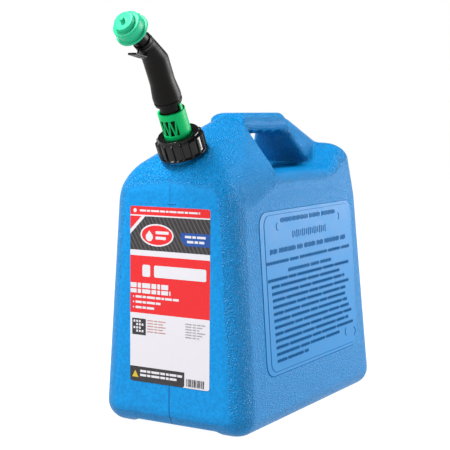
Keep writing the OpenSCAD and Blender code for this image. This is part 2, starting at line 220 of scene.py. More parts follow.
def noise(tree, scale, detail=2.0, roughness=0.5):
    place = node(tree, "ShaderNodeTexCoord").outputs["Object"]
    made = node(
        tree, "ShaderNodeTexNoise",
        {"Vector": place, "Scale": scale, "Detail": detail, "Roughness": roughness},
    )
    return made.outputs["Fac"]


def between(tree, value, low, high, to_low, to_high):
    """A smooth step of value from low..high to to_low..to_high."""
    made = node(
        tree, "ShaderNodeMapRange",
        {"Value": value, "From Min": low, "From Max": high, "To Min": to_low, "To Max": to_high},
        interpolation_type="SMOOTHSTEP",
    )
    return made.outputs["Result"]


def tinted(tree, amount, dark, light):
    """A colour that goes from dark to light with amount."""
    made = node(
        tree, "ShaderNodeMix",
        {"Factor": amount, "A": (*dark, 1), "B": (*light, 1)},
        data_type="RGBA",
    )
    return made.outputs["Result"]


def bumped(tree, height, depth, strength=1.0):
    made = node(
        tree, "ShaderNodeBump",
        {"Height": height, "Distance": depth * MM, "Strength": strength},
    )
    return made.outputs["Normal"]


def new_material(name):
    material = bpy.data.materials.new(name)
    material.use_nodes = True
    tree = material.node_tree
    return material, tree, tree.nodes["Principled BSDF"]


def moulded(name, dark, light, roughness, grain=0.02, grain_scale=2500, specular=0.3):
    """Injection-moulded plastic: fine grain, faint flow marks in the colour and in the gloss."""
    material, tree, shader = new_material(name)
    cloud = noise(tree, 60, 3.0)
    fine = noise(tree, grain_scale, 2.0)
    tree.links.new(tinted(tree, cloud, dark, light), shader.inputs["Base Color"])
    gloss = between(tree, cloud, 0.3, 0.7, roughness - 0.05, roughness + 0.06)
    tree.links.new(gloss, shader.inputs["Roughness"])
    tree.links.new(bumped(tree, fine, grain), shader.inputs["Normal"])
    shader.inputs["Specular IOR Level"].default_value = specular
    return material


BLUE_DARK = (0.0, 0.145, 0.38)
BLUE_LIGHT = (0.0, 0.195, 0.48)
BLUE_SEAM = (0.0, 0.05, 0.17)
PEBBLES_PER_METRE = 620.0
PEBBLE_DEPTH = 1.5
SEAM_HALF_WIDTH = (0.0004, 0.0010)
SEAM_FADES_UP = (0.06, 0.12)


def blue_polyethylene():
    """Blow-moulded tank wall: pebbled at the corners and on top, smoother on the two flats."""
    material, tree, shader = new_material("blue_polyethylene")
    coordinates = node(tree, "ShaderNodeTexCoord")
    normal = node(tree, "ShaderNodeSeparateXYZ", {"Vector": coordinates.outputs["Normal"]})
    place = node(tree, "ShaderNodeSeparateXYZ", {"Vector": coordinates.outputs["Object"]})
    front = between(tree, normal.outputs["Y"], -0.99, -0.93, 1.0, 0.0)
    sideways = maths(tree, "ABSOLUTE", normal.outputs["X"])
    side = between(tree, sideways, 0.975, 0.997, 0.0, 0.45)
    smoothed = maths(tree, "MAXIMUM", front, side)
    pebble = node(
        tree, "ShaderNodeTexVoronoi",
        {"Vector": coordinates.outputs["Object"], "Scale": PEBBLES_PER_METRE, "Smoothness": 0.2},
        feature="SMOOTH_F1",
    ).outputs["Distance"]
    swell = noise(tree, 26, 2.0)
    blotch = noise(tree, 260, 3.0, 0.65)
    height = maths(tree, "MULTIPLY", pebble, between(tree, smoothed, 0.0, 1.0, 1.0, 0.1))
    off_middle = maths(tree, "ABSOLUTE", place.outputs["X"])
    line = between(tree, off_middle, *SEAM_HALF_WIDTH, 1.0, 0.0)
    strong = between(tree, place.outputs["Z"], *SEAM_FADES_UP, 1.0, 0.35)
    seam = maths(tree, "MULTIPLY", line, strong)
    waves = bumped(tree, swell, 0.5, 0.5)
    bump = node(
        tree, "ShaderNodeBump",
        {"Height": height, "Distance": PEBBLE_DEPTH * MM, "Normal": waves},
    )
    plain = tinted(tree, between(tree, blotch, 0.3, 0.7, 0.0, 1.0), BLUE_DARK, BLUE_LIGHT)
    lined = node(
        tree, "ShaderNodeMix", {"Factor": seam, "A": plain, "B": (*BLUE_SEAM, 1)}, data_type="RGBA",
    )
    tree.links.new(lined.outputs["Result"], shader.inputs["Base Color"])
    tree.links.new(between(tree, smoothed, 0.0, 1.0, 0.31, 0.5), shader.inputs["Roughness"])
    tree.links.new(bump.outputs["Normal"], shader.inputs["Normal"])
    shader.inputs["Specular IOR Level"].default_value = 0.15
    return material


def printed(name, colour):
    """Ink on a coated paper label, with the paper's faint tooth and mottle."""
    material, tree, shader = new_material(name)
    mottle = noise(tree, 400, 3.0)
    faded = [0.9 * c + 0.02 for c in colour]
    tree.links.new(tinted(tree, mottle, faded, colour), shader.inputs["Base Color"])
    tree.links.new(bumped(tree, noise(tree, 1800, 2.0), 0.02), shader.inputs["Normal"])
    shader.inputs["Roughness"].default_value = 0.38
    shader.inputs["Specular IOR Level"].default_value = 0.25
    return material


def steel(name, roughness):
    material, tree, shader = new_material(name)
    streak = noise(tree, 900, 4.0)
    tree.links.new(
        tinted(tree, streak, (0.42, 0.42, 0.44), (0.62, 0.62, 0.64)), shader.inputs["Base Color"]
    )
    tree.links.new(between(tree, streak, 0.3, 0.7, roughness, roughness + 0.15), shader.inputs["Roughness"])
    shader.inputs["Metallic"].default_value = 1.0
    return material


def rubber(name):
    material, tree, shader = new_material(name)
    dust = noise(tree, 300, 4.0)
    tree.links.new(
        tinted(tree, dust, (0.012, 0.012, 0.013), (0.035, 0.035, 0.036)), shader.inputs["Base Color"]
    )
    tree.links.new(between(tree, dust, 0.3, 0.7, 0.6, 0.8), shader.inputs["Roughness"])
    tree.links.new(bumped(tree, noise(tree, 2200), 0.03), shader.inputs["Normal"])
    return material


def milky_tube(name):
    material, tree, shader = new_material(name)
    cloud = noise(tree, 200, 3.0)
    tree.links.new(
        tinted(tree, cloud, (0.62, 0.64, 0.64), (0.8, 0.82, 0.82)), shader.inputs["Base Color"]
    )
    tree.links.new(bumped(tree, noise(tree, 1500), 0.02), shader.inputs["Normal"])
    shader.inputs["Roughness"].default_value = 0.3
    shader.inputs["Transmission Weight"].default_value = 0.35
    return material


# ---------------------------------------------------------------- shapes as meshes


def smooth(data, angle=35):
    data.shade_smooth()
    data.set_sharp_from_angle(angle=math.radians(angle))


def piece(name, shape, place, body, finish, replaces=(), angle=35):
    """A new object made of (points in millimetres, faces), put in place and tied to its body."""
    points, faces = shape
    turn, move = np.array(place.to_3x3()), np.array(place.translation)
    data = bpy.data.meshes.new(name)
    data.from_pydata((np.array(points, float) * MM @ turn.T + move).tolist(), [], faces)
    data.validate()
    smooth(data, angle)
    made = bpy.data.objects.new(name, data)
    bpy.context.scene.collection.objects.link(made)
    data.materials.append(finish)
    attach(made, body)
    if replaces:
        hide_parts(*replaces)
    return made


def merged(shapes):
    """Several (points, faces) shapes as one."""
    points, faces = [], []
    for more_points, more_faces in shapes:
        start = len(points)
        points += [tuple(p) for p in more_points]
        faces += [tuple(start + i for i in face) for face in more_faces]
    return points, faces


def skin(loops, through=False, ends=False):
    """Quads between closed loops of points. through joins the last loop to the first."""
    size = len(loops[0])
    points = [p for loop in loops for p in loop]
    faces = []
    for i in range(len(loops) if through else len(loops) - 1):
        low, high = i * size, (i + 1) % len(loops) * size
        for k in range(size):
            n = (k + 1) % size
            faces.append((low + k, low + n, high + n, high + k))
    if ends:
        faces.append(tuple(range(size - 1, -1, -1)))
        faces.append(tuple(range(len(points) - size, len(points))))
    return points, faces


def rounded(corners, steps=4):
    """The closed outline of (x, y, radius) corners, with an arc at each."""
    outline = []
    for i, (x, y, radius) in enumerate(corners):
        here = Vector((x, y))
        if radius == 0:
            outline.append(here)
            continue
        before = (Vector(corners[i - 1][:2]) - here).normalized()
        after = (Vector(corners[(i + 1) % len(corners)][:2]) - here).normalized()
        half = before.angle(after) / 2
        centre = here + (before + after).normalized() * radius / math.sin(half)
        start = here + before * radius / math.tan(half) - centre
        end = here + after * radius / math.tan(half) - centre
        outline += [centre + radius * start.slerp(end, k / steps).normalized() for k in range(steps + 1)]
    return outline


def finer(outline, longest):
    """The closed outline with no side longer than that."""
    points = []
    for i, here in enumerate(outline):
        after = outline[(i + 1) % len(outline)]
        parts = max(1, math.ceil((after - here).length / longest))
        points += [here.lerp(after, k / parts) for k in range(parts)]
    return points


def lathe(outline, steps=96):
    """A closed (radius, height) outline turned round Z."""
    turns = [2 * math.pi * k / steps for k in range(steps)]
    return skin([
        [(radius * math.cos(turn), radius * math.sin(turn), height) for turn in turns]
        for radius, height in outline
    ], through=True)


def rounded_box(width, height, radius, steps=4):
    half_w, half_h = width / 2, height / 2
    return rounded(
        [(-half_w, -half_h, radius), (half_w, -half_h, radius),
         (half_w, half_h, radius), (-half_w, half_h, radius)],
        steps,
    )


def raised(outline, bottom, top, inset=0.0):
    """A pad with sloping sides over a flat outline that runs anticlockwise."""
    middle = sum((Vector(p) for p in outline), Vector((0, 0))) / len(outline)
    loops = [[(p[0], p[1], bottom) for p in outline]]
    if inset:
        loops.append([(p[0], p[1], (bottom + top) / 2 + 0.1) for p in outline])
    drawn_in = []
    for p in outline:
        reach = Vector(p) - middle
        step = Vector((math.copysign(min(inset, abs(reach.x)), reach.x),
                       math.copysign(min(inset, abs(reach.y)), reach.y)))
        drawn_in.append((p[0] - step.x, p[1] - step.y, top))
    loops.append(drawn_in)
    return skin(loops, ends=True)


def shifted(shape, x, y, z=0.0):
    points, faces = shape
    return [(p[0] + x, p[1] + y, p[2] + z) for p in points], faces


def helix(radius, foot, top, turns, per_turn):
    """A route round Z that climbs evenly."""
    count = turns * per_turn
    route = []
    for i in range(count + 1):
        turn = 2 * math.pi * i / per_turn
        height = foot + (top - foot) * i / count
        route.append(Vector((radius * math.cos(turn), radius * math.sin(turn), height)))
    return route


def swept(route, radius, sides=10):
    """A round rod along a list of points."""
    loops = []
    for i, here in enumerate(route):
        ahead = Vector(route[min(i + 1, len(route) - 1)]) - Vector(route[max(i - 1, 0)])
        across = ahead.cross(Vector((0, 0, 1)) if abs(ahead.z) < 0.9 * ahead.length else Vector((1, 0, 0)))
        across.normalize()
        up = across.cross(ahead).normalized()
        loops.append([
            Vector(here) + radius * (across * math.cos(a) + up * math.sin(a))
            for a in (2 * math.pi * k / sides for k in range(sides))
        ])
    return skin(loops, ends=True)


# ---------------------------------------------------------------- shapes as distance fields


def both(radius, *fields):
    """What lies inside every field, with its edges rounded."""
    nearest = fields[0]
    for field in fields[1:]:
        nearest = np.maximum(nearest, field)
    outside = sum(np.maximum(field + radius, 0) ** 2 for field in fields)
    return np.minimum(nearest, -radius) + np.sqrt(outside)


def either(radius, first, second):
    """What lies inside one field or the other, with the corner between them filled."""
    nearest = np.minimum(first, second)
    inside = np.maximum(radius - first, 0) ** 2 + np.maximum(radius - second, 0) ** 2
    return np.maximum(nearest, radius) - np.sqrt(inside)


def beyond(a, b, foot, top):
    """Distance past the line from foot to top, which is positive on its right."""
    run, rise = top[0] - foot[0], top[1] - foot[1]
    return ((a - foot[0]) * rise - (b - foot[1]) * run) / math.hypot(run, rise)


# Sloping faces of the tank's upper part, each by two places that it goes through: how far out
# (forwards for the two fronts, backwards or sideways for the others) and how far up
POCKET_FRONT = ((81, 314), (66.6, 354.5))
POCKET_REAR = ((51.7, 354.4), (72.0, 321.3))
POST_BACK = ((96.5, 362.2), (66.2, 381.6))
POST_SIDE = ((25.4, 360), (35.0, 342.4))
DECK_HIP = ((25.4, 367.5), (75.2, 317.7))
HUMP_FRONT = ((-73, 310), (-118, 346))

# Its edges and levels
CORNER_R = 30
FOOT_R = 26.5
POCKET_Z = 310
HUMP_Z = 341
DECK_FOOT_Y = -160.7
DECK_FOOT_Z = 335.1
DECK_TILT = math.radians(28)
DECK_CROWN = 8.5
DECK_HALF_W = 70
HANDLE_TOP = 382
BAR_R = 13.5
BAR_Z = HANDLE_TOP - BAR_R
BAR_FRONT_Y = -62
BAR_REAR_Y = 50
ARCH_HALF_W = 62
ARCH_H = 4.5


def walls_field(x, y, z):
    """The four leaning walls. Their upright edges are rounder at the top of the rear."""
    side = beyond(np.abs(x), z, SIDE_FOOT, SIDE_TOP)
    front = beyond(-y, z, FRONT_FOOT, FRONT_TOP)
    rear = beyond(y, z, REAR_FOOT, REAR_TOP)
    rounder = np.where(y > 0, np.interp(z, (270, 335), (0, 16)), 0)
    return both(CORNER_R + rounder, side, np.maximum(front, rear))


def past_pocket_front(y, z):
    """Distance in front of the pocket's sloping front wall."""
    return beyond(-y, z, *POCKET_FRONT)


def above_deck(x, y, z):
    """Distance above the sloping deck, which is slightly crowned."""
    up = z - DECK_FOOT_Z + DECK_CROWN * (x / DECK_HALF_W) ** 2
    return up * math.cos(DECK_TILT) - (y - DECK_FOOT_Y) * math.sin(DECK_TILT)


def deck_field(x, y, z, walls):
    """The front part under the sloping deck, up to the pocket's front wall."""
    hip = -beyond(np.abs(x), z, *DECK_HIP)
    roof = both(12, both(22, above_deck(x, y, z), hip), z - HANDLE_TOP)
    edge = np.interp(-y, (85, 150), (10, 26))
    return both(1.5, both(edge, walls, roof), -past_pocket_front(y, z))


def handle_field(x, y, z, walls):
    """The bar, and the post behind the pocket that it comes down on."""
    across = np.abs(x)
    rod = np.hypot(np.maximum(across - 12, 0), z - BAR_Z) - BAR_R
    rod = np.maximum(rod, np.maximum(BAR_FRONT_Y - y, y - BAR_REAR_Y))
    bar = both(12, rod, above_deck(x, y, z))
    pocket_rear = beyond(y, z, *POCKET_REAR)
    side = -beyond(across, z, *POST_SIDE)
    back = beyond(y, z, *POST_BACK)
    post = both(12, both(10, pocket_rear, side), both(12, back, z - HANDLE_TOP))
    return either(6, bar, np.maximum(post, walls + 14))


def fingers_field(y, z):
    """Four round grooves in the underside of the bar."""
    pitch, depth, radius = 24.5, 4.2, 11.5
    floor_z = HANDLE_TOP - 2 * BAR_R + depth - radius
    nearest = np.full_like(y, 1e3)
    for i in (-1.5, -0.5, 0.5, 1.5):
        nearest = np.minimum(nearest, np.hypot(y - (i * pitch - 2), z - floor_z) - radius)
    return nearest


def tether_field(x, y, z):
    """The pocket for the cap's tether behind the neck: a long hollow and a small one."""
    long_one = np.hypot(np.maximum(np.abs(x + 0.5) - 2.0, 0), np.hypot(y + 102.5, z - 367.5)) - 4.0
    small_one = np.hypot(np.hypot(x - 3.8, y + 95.5), z - 371.0) - 2.4
    return np.minimum(long_one, small_one)


def body_field(x, y, z, walls):
    """The tank up to the pocket's floor, with the hump behind it."""
    hump = both(10, beyond(-y, z, *HUMP_FRONT), z - HUMP_Z)
    under_deck = np.clip(1.5 * (past_pocket_front(y, z) - 4), 0, 25)
    top = either(8, z - POCKET_Z + under_deck, hump)
    top_edge = 16 + np.interp(z, (312, 335), (0, 1)) * np.interp(y, (95, 140), (2, 18))
    return both(top_edge, both(FOOT_R, walls, -z), top)


def tank_field(x, y, z):
    """The whole tank, with its finger grooves, its tether pocket and the arch between its feet."""
    walls = walls_field(x, y, z)
    body = body_field(x, y, z, walls)
    deck = np.maximum(deck_field(x, y, z, walls), 60 - z)
    handle = np.maximum(handle_field(x, y, z, walls), 250 - z)
    whole = np.maximum(either(4, np.minimum(body, deck), handle), z - HANDLE_TOP)
    grooved = both(0.8, both(1.5, whole, -fingers_field(y, z)), -tether_field(x, y, z))
    whole = np.where(whole < 20, grooved, whole)
    arch = both(4, np.abs(x) - ARCH_HALF_W, z - ARCH_H)
    return both(4, whole, -arch)


def slope_of(field, points, reach=0.05):
    """The field's gradient at points, by small steps."""
    steps = reach * np.eye(3)
    rises = [field(*(points + s).T) - field(*(points - s).T) for s in steps]
    return np.stack(rises, axis=1) / (2 * reach)


def from_field(field, low, high, step):
    """The zero surface of a distance field: its points, its quads and its outward directions."""
    low, high = np.array(low, float), np.array(high, float)
    counts = np.ceil((high - low) / step).astype(int) + 1
    lines = [low[i] + step * np.arange(counts[i]) for i in range(3)]
    grid = vdb.FloatGrid(background=3 * step)
    grid.copyFromArray(field(*np.meshgrid(*lines, indexing="ij")).astype(np.float32))
    points, quads = grid.convertToQuads(isovalue=0.0)
    points = points.astype(float) * step + low
    for _ in range(2):
        slope = slope_of(field, points)
        steepness = np.maximum((slope ** 2).sum(axis=1), 0.2)
        move = field(*points.T) / steepness
        points -= np.clip(move, -step / 2, step / 2)[:, None] * slope
    slope = slope_of(field, points)
    outward = slope / np.maximum(np.linalg.norm(slope, axis=1, keepdims=True), 1e-6)
    return points, quads, outward


def field_piece(name, field, low, high, step, place, body, finish, slot, replaces=(), keep=None):
    """A piece whose surface is a field's zero surface. keep(middles) says which of its quads stay."""
    points, quads, outward = from_field(field, low, high, step)
    if keep:
        quads = quads[keep(points[quads].mean(axis=1))]
        used, quads = np.unique(quads, return_inverse=True)
        points, outward = points[used], outward[used]
        quads = quads.reshape(-1, 4)
    made = piece(name, (points, quads.tolist()), place, body, finish, replaces, angle=180)
    outward = outward @ np.array(place.to_3x3()).T
    made.data.normals_split_custom_set_from_vertices(outward.tolist())
    return made


# ---------------------------------------------------------------- the tank

WALL = 2.2
NECK_FOOT_Z = 334.2
NECK_BORE_R = 18.3
NECK_R = 21.4
TANK_BOX = ((-110, -202, -6), (110, 174, 388))


def clear_of_neck(middles):
    """Which quads lie outside the hole under the filler neck."""
    hole_r, hole_depth = 19.8, 30
    y, z = middles[:, 1] - NECK_FOOT_Y, middles[:, 2] - NECK_FOOT_Z
    tilt = math.radians(neck_tilt)
    along = z * math.cos(tilt) - y * math.sin(tilt)
    out = np.hypot(middles[:, 0], y * math.cos(tilt) + z * math.sin(tilt))
    return (out > hole_r) | (np.abs(along) > hole_depth)


def make_tank(blue):
    field_piece(
        "tank_shell", tank_field, *TANK_BOX, 2.7, TANK, "tank", blue, "blue_plastic",
        replaces=("tank",), keep=clear_of_neck,
    )


def make_lining(blue):
    """The inside of the hollow wall."""
    def inside_field(x, y, z):
        return tank_field(x, y, z) + WALL

    points, quads, _ = from_field(inside_field, *TANK_BOX, 5)
    quads = quads[clear_of_neck(points[quads].mean(axis=1))][:, ::-1]
    used, quads = np.unique(quads, return_inverse=True)
    shape = (points[used], quads.reshape(-1, 4).tolist())
    piece("tank_lining", shape, TANK, "tank", blue, angle=180)


def make_neck(blue):
    """The filler neck, with two turns of thread."""
    root = 22.6
    wall = rounded([
        (NECK_BORE_R, -7, 0.3), (root, -7, 0.3), (root, -0.2, 0.4), (NECK_R, 1.4, 0.4),
        (NECK_R, 20.5, 0.8), (NECK_BORE_R, 20.5, 0.5),
    ])
    thread = helix(NECK_R + 0.2, 6.5, 16.5, turns=2, per_turn=48)
    shape = merged([lathe(finer(wall, 4)), swept(thread, 1.15)])
    piece("threaded_neck", shape, NECK, "tank", blue, replaces=("filler_neck",))


# ---------------------------------------------------------------- the side walls' moulded panels

PANEL_HALF_L = 128
PANEL_HALF_H = 100.5
PANEL_STEP = 0.6
PANEL_RELIEF = 1.1

WORDS = (22, 9, 30, 14, 26, 11, 18)


def strokes(left, right, middle, height, pitch=2.3, width=1.25, words=WORDS, first=0):
    """A row of upright strokes in groups, which stands for a line of moulded marks."""
    made = []
    x, group, left_in_group = left, first, words[first % len(words)]
    while x + width <= right:
        if left_in_group == 0:
            group += 1
            left_in_group = words[group % len(words)]
        else:
            tall = height * (1.0, 0.72, 0.9)[left_in_group % 3]
            outline = rounded_box(width, tall, 0.4, 1)
            stroke = raised(outline, PANEL_RELIEF - 0.2, PANEL_RELIEF + 0.5, 0.25)
            made.append(shifted(stroke, x, middle))
            left_in_group -= 1
        x += pitch
    return made


def crescent(x, y, size, bulge):
    """An upright bow on the panel, which bulges to the right by that much."""
    route = []
    for k in range(13):
        t = k / 6 - 1
        route.append(Vector((x + bulge * (1 - t * t), y + t * size / 2, PANEL_RELIEF)))
    return swept(route, 0.6, 6)


def panel_marks():
    """Rows of marks up and down the panel, and four crescents.

    The upper rows say their left, right, middle, height, pitch and width.
    """
    marks = strokes(-75, 78, 87, 6.5, 3.4, 1.5)
    marks += strokes(-45, 47, 67.5, 10, 5.3, 1.7, (20,))
    marks += strokes(-105, 105, 50.5, 7, 3.2, 1.5, (6, 14, 5, 10))
    marks += strokes(-115, 115, 37, 4.8, 2.6, 1.2)
    marks += strokes(-62, 60, 24.5, 5.2, 2.7, 1.3)
    right_ends = (111, 84, 97, 110, 97, 97, 101, 107, 115, 102, 118, 74, -19)
    row_pitch = 8.25
    for i, end in enumerate(right_ends):
        left = -106 + 0.4 * i - (8 if i == 0 else 0)
        marks += strokes(left, end, 16 - row_pitch * i, 4.6, first=i)
    return marks + [
        crescent(-84, 80, 9, -3), crescent(85, 80, 9, 3),
        crescent(92, -78, 10, -3), crescent(117, -81, 12, 4),
    ]


def edging(width, height, corner, slant, bottom, top):
    """The sloping edge of a plate, which is wider at its left and its foot."""
    inner = rounded_box(width - 2 * slant, height - 2 * slant, corner - slant, 8)
    outer = rounded_box(width, height, corner, 8)
    drift = 0.45 * slant
    return skin([
        [(p.x - drift, p.y - drift, bottom) for p in outer],
        [(p.x, p.y, top) for p in inner],
    ])


def make_side_panels(smooth_blue, painted_shade_blue):
    """Two stepped plates on each side wall, with their sloping edges and rows of marks. The edges and marks
    are coloured a darker blue as painted shade.
    """
    low = rounded_box(2 * PANEL_HALF_L - 2.6, 2 * PANEL_HALF_H - 2.6, 17, 8)
    low_edge = edging(2 * PANEL_HALF_L, 2 * PANEL_HALF_H, 18, 1.3, -0.3, PANEL_STEP)
    width, height = 2 * PANEL_HALF_L - 16, 2 * PANEL_HALF_H - 10
    high = rounded_box(width - 1.6, height - 1.6, 12, 8)
    high_edge = edging(width, height, 13, 0.8, PANEL_STEP - 0.1, PANEL_RELIEF)
    marks = panel_marks()
    for side, name in ((1, "right"), (-1, "left")):
        place = side_place(side)
        inset = side * 3.0
        plates = merged([
            raised(finer(low, 12), -0.4, PANEL_STEP),
            shifted(raised(finer(high, 12), PANEL_STEP - 0.1, PANEL_RELIEF), inset, 0),
        ])
        lines = merged([low_edge, shifted(high_edge, inset, 0)] + marks)
        piece(f"panel_{name}", plates, place, "tank", smooth_blue)
        # The sloping edges and the marks take the darker blue, which is painted shade.
        piece(f"panel_lines_{name}", lines, place, "tank", painted_shade_blue)


# ---------------------------------------------------------------- the front label

LABEL_W = 114
LABEL_H = 214
LABEL_LIFT = 0.35
INK = 0.04


def clipped(outline, left, right, bottom, top):
    """The part of a convex outline inside a box."""
    for axis, limit, sign in ((0, left, 1), (0, right, -1), (1, bottom, 1), (1, top, -1)):
        kept = []
        for i, here in enumerate(outline):
            before = outline[i - 1]
            inside = sign * (here[axis] - limit) >= 0
            was_inside = sign * (before[axis] - limit) >= 0
            if inside != was_inside:
                part = (limit - before[axis]) / (here[axis] - before[axis])
                kept.append(tuple(before[k] + part * (here[k] - before[k]) for k in (0, 1)))
            if inside:
                kept.append(tuple(here))
        outline = kept
    return outline


def on_label(points):
    """From millimetres rightwards and down the label to its own middle."""
    return [(x - LABEL_W / 2, LABEL_H / 2 - y) for x, y in points]


def print_box(left, right, top, bottom, radius=0.0):
    if not radius:
        return on_label([(left, bottom), (right, bottom), (right, top), (left, top)])
    middle_x, middle_y = (left + right) / 2, (top + bottom) / 2
    box = rounded_box(right - left, bottom - top, radius, 5)
    return on_label([(middle_x + p.x, middle_y - p.y) for p in box])


def flat(outlines, height):
    """One face for each outline, at a height over the label."""
    points, faces = [], []
    for outline in outlines:
        start = len(points)
        points += [(p[0], p[1], height) for p in outline]
        faces.append(tuple(range(start, start + len(outline))))
    return points, faces


def greeked(left, right, top, bottom, gap=1.2, words=(9, 5, 12, 7, 4, 10)):
    """Bars that stand for the words of a printed line."""
    bars = []
    x, i = left, 0
    while x < right - 1:
        end = min(x + words[i % len(words)], right)
        bars.append(print_box(x, end, top, bottom, 0.3))
        x, i = end + gap, i + 1
    return bars


def ellipse(x, y, half_w, half_h, steps=36):
    return on_label([
        (x + half_w * math.cos(2 * math.pi * k / steps), y - half_h * math.sin(2 * math.pi * k / steps))
        for k in range(steps)
    ])


def drop(x, y, size):
    """A drop of fuel, point up."""
    points = [(x, y - 1.5 * size)]
    for k in range(17):
        turn = math.radians(-30 + 240 * k / 16)
        points.append((x + size * math.cos(turn), y + size * math.sin(turn)))
    return on_label(points)[::-1]


def stripes(left, right, top, bottom, pitch, width, lean):
    """Slanted stripes across a box."""
    made = []
    run = (bottom - top) / math.tan(math.radians(lean))
    x = left - run
    while x < right:
        slanted = [(x, top), (x + width, top), (x + width + run, bottom), (x + run, bottom)]
        inside = clipped(slanted, left, right, top, bottom)
        if len(inside) > 2:
            made.append(on_label(inside)[::-1])
        x += pitch
    return made


def label_layers():
    """What is printed, in order from the sheet outwards: a colour and its outlines."""
    red, dark, grey, white, blue, yellow = "red", "dark", "grey", "white", "blue", "yellow"
    strip, band, block, foot = (0, 10.3), (11.9, 52.9), (59.7, 129.7), (195.6, 214)
    top_strip = clipped([tuple(p) for p in print_box(0, LABEL_W, 0, 16, 3)],
                        -LABEL_W / 2, LABEL_W / 2, LABEL_H / 2 - strip[1], LABEL_H / 2)
    low_strip = clipped([tuple(p) for p in print_box(0, 79, 190, foot[1], 3)],
                        -LABEL_W / 2, LABEL_W / 2, -LABEL_H / 2, LABEL_H / 2 - foot[0])
    layers = [
        (red, [top_strip, print_box(0, LABEL_W, *block)]),
        (dark, [print_box(0, LABEL_W, *band), low_strip]),
        ("stripe", stripes(0, LABEL_W, *band, 5.8, 1.7, 60)),
        (white, [on_label([(0, 34), (22, 11.9), (0, 11.9)])]),
        (red, [on_label([(0, 28.5), (16.6, 11.9), (0, 11.9)])]),
        (white, greeked(14, 100, 4.0, 6.2) + [ellipse(7, 5.2, 2.4, 2.4)]),
        (white, [ellipse(39, 34, 24, 13.5)]),
        (red, [ellipse(39, 34, 22, 11.7)]),
        (white, [drop(28, 36.5, 5.2), print_box(37, 56, 29, 32.5, 1), print_box(37, 52, 35.5, 39, 1)]),
        (blue, [on_label([(80, 44.5), (LABEL_W, 44.5), (LABEL_W, 29), (73, 29), (73, 37.5)])]),
        (white, greeked(79, 110, 32.2, 35.0, 1.4) + greeked(82, 106, 38, 40.8, 1.4)),
        (white, [print_box(18, 29.5, 70.5, 85, 2.2), print_box(35, 109, 70.5, 85, 2.2)]),
        (white, greeked(0.5, 57, 93, 99, 1.6) + greeked(0.5, 59, 100.4, 105.4, 1.6)),
    ]
    for i, share in enumerate((0.62, 0.41, 0.31)):
        top = 108.5 + 6.5 * i
        layers.append((white, [ellipse(5, top + 1.4, 1, 1)] + greeked(8, share * LABEL_W, top, top + 2.8)))
    layers.append((dark, [print_box(3, 23, 136.6, 156.5, 0.6)]))
    pattern = [
        print_box(5 + 4 * i, 7.6 + 4 * i, 138.6 + 4 * j, 141.2 + 4 * j)
        for i in range(4) for j in range(4) if (i * 3 + j * j) % 4 != 1
    ]
    layers.append((white, pattern))
    for i in range(5):
        top = 137.6 + 3.4 * i
        layers.append(("rust", greeked(25, 52 - 4 * (i % 2), top, top + 0.9)))
    for i in range(6):
        top = 136.6 + 3.2 * i
        layers.append((grey, greeked(80, 108 - 4 * (i % 3), top, top + 0.9)))
    warning = on_label([(3, 209), (12.5, 209), (7.7, 200.5)])
    bars = [print_box(82 + 2.1 * i, 82 + 2.1 * i + 0.7 + 0.4 * (i % 3), 203, 212) for i in range(12)]
    layers += [
        (yellow, [warning]),
        (white, greeked(15, 76, 199.5, 202.3) + greeked(15, 68, 204.5, 207.3)),
        (dark, bars),
    ]
    return layers


def make_front_marks(blue):
    """The small moulded bar over the label, between two rows of dots."""
    marks = [shifted(raised(rounded_box(12, 1.4, 0.6, 2), -0.3, 0.7, 0.3), 3, 112)]
    for x in (-34, -29, -24, -17, -12, 14, 18, 23):
        marks.append(shifted(raised(rounded_box(2.2, 1.2, 0.5, 2), -0.3, 0.5, 0.3), x, 111.5))
    piece("front_marks", merged(marks), LABEL, "tank", blue)


def make_label(inks):
    """The paper sheet, and a thin layer for each printing."""
    sheet = rounded_box(LABEL_W, LABEL_H, 3, 6)
    piece(
        "label_sheet", raised(sheet, 0.02, LABEL_LIFT), LABEL, "tank", inks["white"],
        replaces=("front_label",),
    )
    for i, (colour, outlines) in enumerate(label_layers()):
        shape = flat(outlines, LABEL_LIFT + INK * (i + 1) / 4)
        piece(f"label_print_{i:02d}_{colour}", shape, LABEL, "tank", inks[colour])


# ---------------------------------------------------------------- the screw ring

RING_RIBS = 16
RING_R = 30
RING_BODY_R = 27.6


def ring_turns():
    """Angles round the ring, close together over each rib."""
    offsets = (-1.9, -1.55, -1.2, -0.8, 0, 0.8, 1.2, 1.55, 1.9, 3.6, 5.4, 7.2)
    turns = []
    for i in range(RING_RIBS):
        middle = 2 * math.pi * (i + 0.5) / RING_RIBS
        turns += [middle + offset / RING_BODY_R for offset in offsets]
    return turns


def smooth_step(value, low, high):
    t = min(max((value - low) / (high - low), 0), 1)
    return t * t * (3 - 2 * t)


def ribbed(radius, height, turn):
    """The ring's radius there, with its grip ribs."""
    if radius < RING_BODY_R - 3:
        return radius
    cell = 2 * math.pi / RING_RIBS
    offset = abs((turn / cell) % 1 - 0.5) * cell * RING_BODY_R
    rib = 1 - smooth_step(offset, 0.8, 1.6)
    grip = smooth_step(height, 3.6, 5.0) * (1 - smooth_step(height, 22.0, 24.5))
    return radius + (RING_R - 0.15 - RING_BODY_R) * rib * grip


def make_ring(black):
    """The ribbed screw ring."""
    outline = rounded([
        (23.2, 1.9, 0.3), (29.3, 1.9, 0.5), (29.8, 3.3, 0.5), (RING_BODY_R, 4.9, 1.0),
        (RING_BODY_R, 21.5, 2.0), (25.6, 25.2, 1.2), (25.0, 27.2, 0.6), (18.6, 27.2, 0.6),
        (18.6, 24.95, 0.2), (23.2, 24.95, 0.3),
    ], 3)
    loops = []
    for radius, height in finer(outline, 2.0):
        ring = [(ribbed(radius, height, t), t) for t in ring_turns()]
        loops.append([(r * math.cos(t), r * math.sin(t), height) for r, t in ring])
    piece("screw_ring", skin(loops, through=True), NECK, "ring", black,
          replaces=("screw_collar",), angle=50)


# ---------------------------------------------------------------- the lock collar

